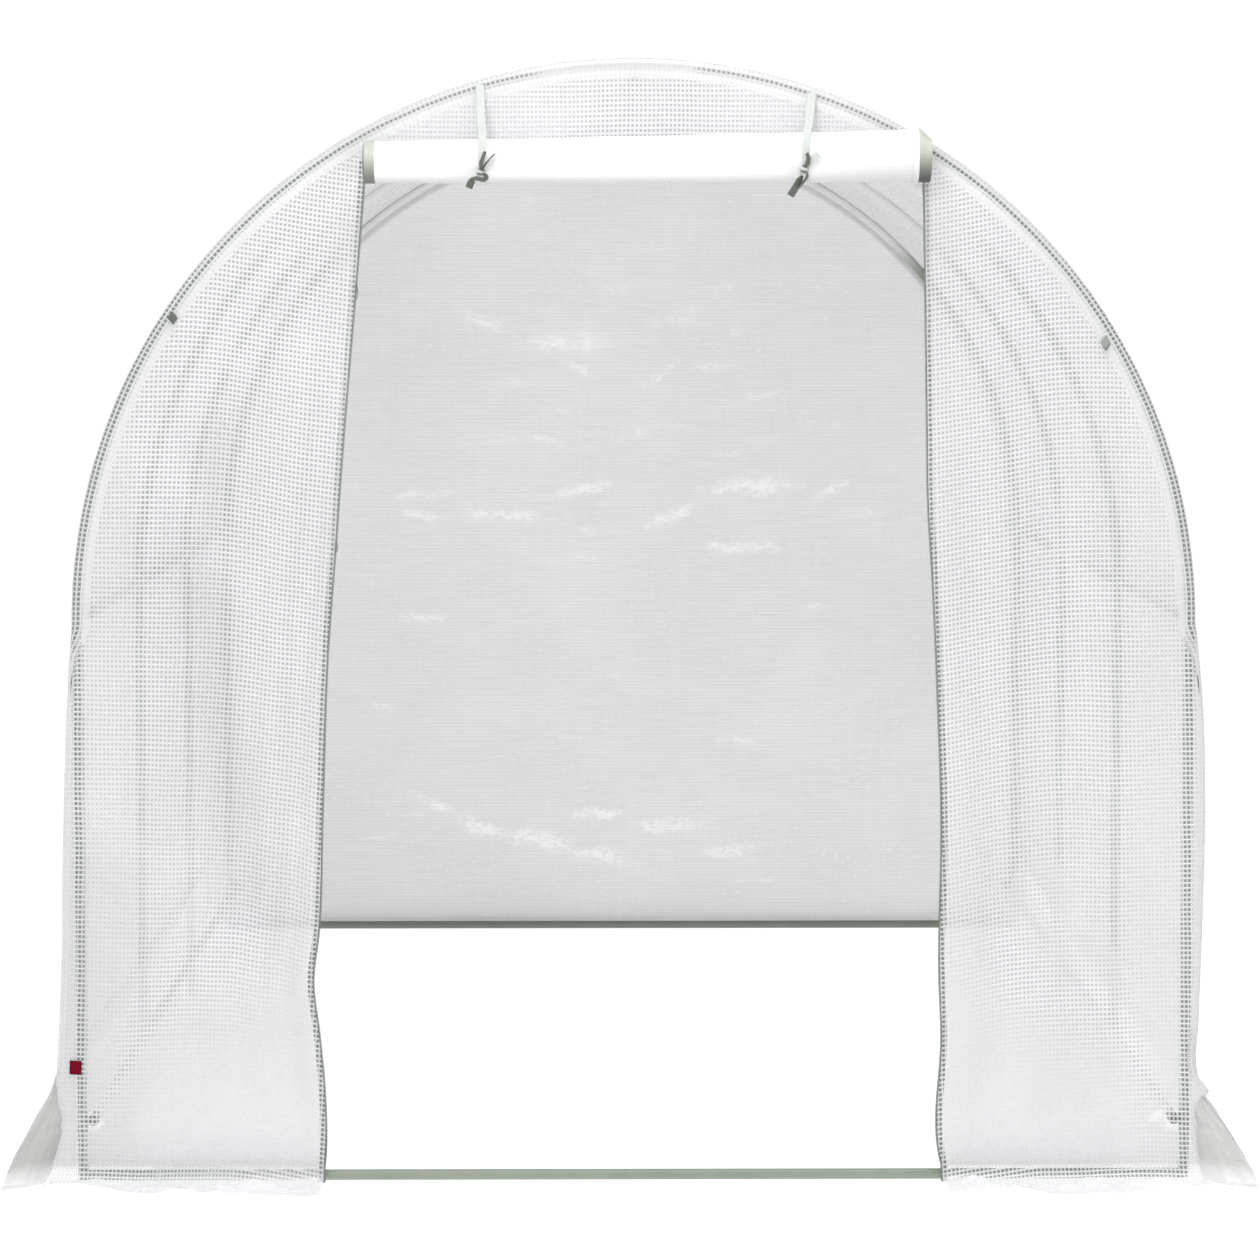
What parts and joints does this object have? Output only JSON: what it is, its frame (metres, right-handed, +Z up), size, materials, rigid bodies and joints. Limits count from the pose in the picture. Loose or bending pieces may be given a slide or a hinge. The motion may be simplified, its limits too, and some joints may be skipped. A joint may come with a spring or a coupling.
{
  "type": "polytunnel greenhouse",
  "caption": "Walk-in polytunnel greenhouse: round-tube hoops under a reinforced film cover with ground skirts, and a front doorway with its zip door rolled up and tied.",
  "frame": {"origin": "on the ground, at the middle of the footprint", "axes": "+Z up, Y along the tunnel with the doorway end at -Y, X across"},
  "size_m": [2.25, 3.27, 2],
  "materials": {
    "frame_tube": "satin grey-green powder coat",
    "cover_film": "translucent film over a square white scrim",
    "door_film": "the same film rolled up, so it reads white",
    "skirt_film": "plain white film",
    "webbing": "woven ribbon",
    "zip_tape": "woven tape with moulded teeth",
    "tag_fabric": "plain woven tag"
  },
  "bodies": {
    "root": {"front_hoop_left_leg": "frame_tube", "front_hoop_right_leg": "frame_tube", "front_hoop_left_arch": "frame_tube", "front_hoop_right_arch": "frame_tube", "second_hoop_left_leg": "frame_tube", "second_hoop_right_leg": "frame_tube", "second_hoop_left_arch": "frame_tube", "second_hoop_right_arch": "frame_tube", "third_hoop_left_leg": "frame_tube", "third_hoop_right_leg": "frame_tube", "third_hoop_left_arch": "frame_tube", "third_hoop_right_arch": "frame_tube", "rear_hoop_left_leg": "frame_tube", "rear_hoop_right_leg": "frame_tube", "rear_hoop_left_arch": "frame_tube", "rear_hoop_right_arch": "frame_tube", "front_ground_bar_left": "frame_tube", "front_ground_bar_right": "frame_tube", "rear_ground_bar_left": "frame_tube", "rear_ground_bar_right": "frame_tube", "left_base_rail": "frame_tube", "right_base_rail": "frame_tube", "left_side_rail": "frame_tube", "right_side_rail": "frame_tube", "ridge_purlin": "frame_tube", "cover_left_wall": "cover_film", "cover_roof": "cover_film", "cover_right_wall": "cover_film", "front_panel_left": "cover_film", "front_panel_right": "cover_film", "front_panel_top": "cover_film", "rear_panel": "cover_film", "rolled_door": "door_film", "door_tie_left": "webbing", "door_tie_right": "webbing", "left_door_zip": "zip_tape", "right_door_zip": "zip_tape", "left_skirt": "skirt_film", "right_skirt": "skirt_film", "front_left_skirt": "skirt_film", "front_right_skirt": "skirt_film", "rear_skirt": "skirt_film", "arch_tabs": "webbing", "seam_tag": "tag_fabric"}
  },
  "joints": []
}
